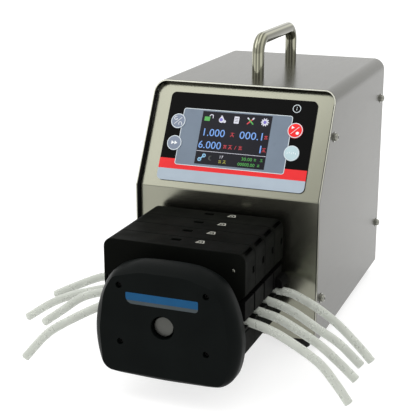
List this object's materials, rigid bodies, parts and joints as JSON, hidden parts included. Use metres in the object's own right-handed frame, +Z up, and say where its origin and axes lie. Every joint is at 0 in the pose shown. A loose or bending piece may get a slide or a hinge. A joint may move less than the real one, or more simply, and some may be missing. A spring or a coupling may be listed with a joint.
{
  "type": "peristaltic pump",
  "caption": "Bench peristaltic pump: a stainless drive unit with a sloping keypad and screen, driving a stack of hinged roller pump heads threaded with silicone tubing.",
  "frame": {"origin": "on the surface the feet stand on, below the middle of the pump without its loose tube ends", "axes": "+Z up, -Y out of the front with the pump heads, +X to the right seen from the front"},
  "size_m": [0.3457, 0.4056, 0.2858],
  "materials": {
    "stainless": "brushed along the bends",
    "polished_steel": "polished",
    "head_plastic": "fine satin texture",
    "panel_film": "printed satin film",
    "key_grey": "satin",
    "key_red": "satin",
    "screen_glass": "smooth",
    "silicone": "milky, slightly glossy",
    "rubber": "matte",
    "roller_nylon": "smooth",
    "board_green": "solder mask",
    "motor_black": "black paint with bare steel ends"
  },
  "bodies": {
    "drive_unit": {"cover_shell": "stainless", "front_panel": "stainless", "rear_panel": "stainless", "base_plate": "stainless", "carry_handle": "polished_steel", "foot_front_left": "rubber", "foot_front_right": "rubber", "foot_rear_left": "rubber", "foot_rear_right": "rubber", "keypad_overlay": "panel_film", "display_module": "screen_glass", "control_board": "board_green", "drive_motor": "motor_black", "power_inlet": "head_plastic", "signal_port": "polished_steel", "adapter_plate": "head_plastic", "front_plate": "head_plastic", "hinge_rod": "polished_steel", "head_1_body": "head_plastic", "head_1_tube": "silicone", "tube_1_left": "silicone", "tube_1_right": "silicone", "head_2_body": "head_plastic", "head_2_tube": "silicone", "tube_2_left": "silicone", "tube_2_right": "silicone", "head_3_body": "head_plastic", "head_3_tube": "silicone", "tube_3_left": "silicone", "tube_3_right": "silicone", "head_4_body": "head_plastic", "head_4_tube": "silicone", "tube_4_left": "silicone", "tube_4_right": "silicone"},
    "drive": {"drive_shaft": "polished_steel", "head_1_rotor": "polished_steel", "head_2_rotor": "polished_steel", "head_3_rotor": "polished_steel", "head_4_rotor": "polished_steel"},
    "hood_1": {"head_1_hood": "head_plastic"},
    "hood_2": {"head_2_hood": "head_plastic"},
    "hood_3": {"head_3_hood": "head_plastic"},
    "hood_4": {"head_4_hood": "head_plastic"},
    "roller_1_1": {"head_1_roller_1": "roller_nylon"},
    "roller_1_2": {"head_1_roller_2": "roller_nylon"},
    "roller_1_3": {"head_1_roller_3": "roller_nylon"},
    "roller_2_1": {"head_2_roller_1": "roller_nylon"},
    "roller_2_2": {"head_2_roller_2": "roller_nylon"},
    "roller_2_3": {"head_2_roller_3": "roller_nylon"},
    "roller_3_1": {"head_3_roller_1": "roller_nylon"},
    "roller_3_2": {"head_3_roller_2": "roller_nylon"},
    "roller_3_3": {"head_3_roller_3": "roller_nylon"},
    "roller_4_1": {"head_4_roller_1": "roller_nylon"},
    "roller_4_2": {"head_4_roller_2": "roller_nylon"},
    "roller_4_3": {"head_4_roller_3": "roller_nylon"},
    "key_direction": {"key_direction": "key_grey"},
    "key_prime": {"key_prime": "key_grey"},
    "key_run": {"key_run": "key_red"},
    "key_menu": {"key_menu": "key_grey"},
    "rocker": {"power_rocker": "head_plastic"}
  },
  "joints": [
    {"name": "drive_spin", "type": "hinge", "parent": "drive_unit", "child": "drive", "pos_m": [0, -0.1228, 0.072], "axis": [0, 1, 0], "continuous": true},
    {"name": "roller_1_1_spin", "type": "hinge", "parent": "drive", "child": "roller_1_1", "pos_m": [0, -0.1515, 0.1], "axis": [0, 1, 0], "continuous": true},
    {"name": "roller_1_2_spin", "type": "hinge", "parent": "drive", "child": "roller_1_2", "pos_m": [-0.02425, -0.1515, 0.058], "axis": [0, 1, 0], "continuous": true},
    {"name": "roller_1_3_spin", "type": "hinge", "parent": "drive", "child": "roller_1_3", "pos_m": [0.02425, -0.1515, 0.058], "axis": [0, 1, 0], "continuous": true},
    {"name": "roller_2_1_spin", "type": "hinge", "parent": "drive", "child": "roller_2_1", "pos_m": [0, -0.125, 0.1], "axis": [0, 1, 0], "continuous": true},
    {"name": "roller_2_2_spin", "type": "hinge", "parent": "drive", "child": "roller_2_2", "pos_m": [-0.02425, -0.125, 0.058], "axis": [0, 1, 0], "continuous": true},
    {"name": "roller_2_3_spin", "type": "hinge", "parent": "drive", "child": "roller_2_3", "pos_m": [0.02425, -0.125, 0.058], "axis": [0, 1, 0], "continuous": true},
    {"name": "roller_3_1_spin", "type": "hinge", "parent": "drive", "child": "roller_3_1", "pos_m": [0, -0.0985, 0.1], "axis": [0, 1, 0], "continuous": true},
    {"name": "roller_3_2_spin", "type": "hinge", "parent": "drive", "child": "roller_3_2", "pos_m": [-0.02425, -0.0985, 0.058], "axis": [0, 1, 0], "continuous": true},
    {"name": "roller_3_3_spin", "type": "hinge", "parent": "drive", "child": "roller_3_3", "pos_m": [0.02425, -0.0985, 0.058], "axis": [0, 1, 0], "continuous": true},
    {"name": "roller_4_1_spin", "type": "hinge", "parent": "drive", "child": "roller_4_1", "pos_m": [0, -0.072, 0.1], "axis": [0, 1, 0], "continuous": true},
    {"name": "roller_4_2_spin", "type": "hinge", "parent": "drive", "child": "roller_4_2", "pos_m": [-0.02425, -0.072, 0.058], "axis": [0, 1, 0], "continuous": true},
    {"name": "roller_4_3_spin", "type": "hinge", "parent": "drive", "child": "roller_4_3", "pos_m": [0.02425, -0.072, 0.058], "axis": [0, 1, 0], "continuous": true},
    {"name": "hood_1_hinge", "type": "hinge", "parent": "drive_unit", "child": "hood_1", "pos_m": [-0.06, -0.1515, 0.092], "axis": [0, -1, 0], "range_deg": [0, 70]},
    {"name": "hood_2_hinge", "type": "hinge", "parent": "drive_unit", "child": "hood_2", "pos_m": [-0.06, -0.125, 0.092], "axis": [0, -1, 0], "range_deg": [0, 70]},
    {"name": "hood_3_hinge", "type": "hinge", "parent": "drive_unit", "child": "hood_3", "pos_m": [-0.06, -0.0985, 0.092], "axis": [0, -1, 0], "range_deg": [0, 70]},
    {"name": "hood_4_hinge", "type": "hinge", "parent": "drive_unit", "child": "hood_4", "pos_m": [-0.06, -0.072, 0.092], "axis": [0, -1, 0], "range_deg": [0, 70]},
    {"name": "key_direction_press", "type": "slide", "parent": "drive_unit", "child": "key_direction", "axis": [0, 0.8743, -0.4854], "range_m": [0, 0.0006], "stiffness_N_per_m": 300},
    {"name": "key_prime_press", "type": "slide", "parent": "drive_unit", "child": "key_prime", "axis": [0, 0.8743, -0.4854], "range_m": [0, 0.0006], "stiffness_N_per_m": 300},
    {"name": "key_run_press", "type": "slide", "parent": "drive_unit", "child": "key_run", "axis": [0, 0.8743, -0.4854], "range_m": [0, 0.0006], "stiffness_N_per_m": 300},
    {"name": "key_menu_press", "type": "slide", "parent": "drive_unit", "child": "key_menu", "axis": [0, 0.8743, -0.4854], "range_m": [0, 0.0006], "stiffness_N_per_m": 300},
    {"name": "power_rocker_tilt", "type": "hinge", "parent": "drive_unit", "child": "rocker", "pos_m": [-0.052, 0.1976, 0.074], "axis": [1, 0, 0], "range_deg": [0, 14]}
  ],
  "couplings": [
    {"joint": "roller_1_1_spin", "follows": "drive_spin", "ratio": -4.2941},
    {"joint": "roller_1_2_spin", "follows": "drive_spin", "ratio": -4.2941},
    {"joint": "roller_1_3_spin", "follows": "drive_spin", "ratio": -4.2941},
    {"joint": "roller_2_1_spin", "follows": "drive_spin", "ratio": -4.2941},
    {"joint": "roller_2_2_spin", "follows": "drive_spin", "ratio": -4.2941},
    {"joint": "roller_2_3_spin", "follows": "drive_spin", "ratio": -4.2941},
    {"joint": "roller_3_1_spin", "follows": "drive_spin", "ratio": -4.2941},
    {"joint": "roller_3_2_spin", "follows": "drive_spin", "ratio": -4.2941},
    {"joint": "roller_3_3_spin", "follows": "drive_spin", "ratio": -4.2941},
    {"joint": "roller_4_1_spin", "follows": "drive_spin", "ratio": -4.2941},
    {"joint": "roller_4_2_spin", "follows": "drive_spin", "ratio": -4.2941},
    {"joint": "roller_4_3_spin", "follows": "drive_spin", "ratio": -4.2941}
  ]
}
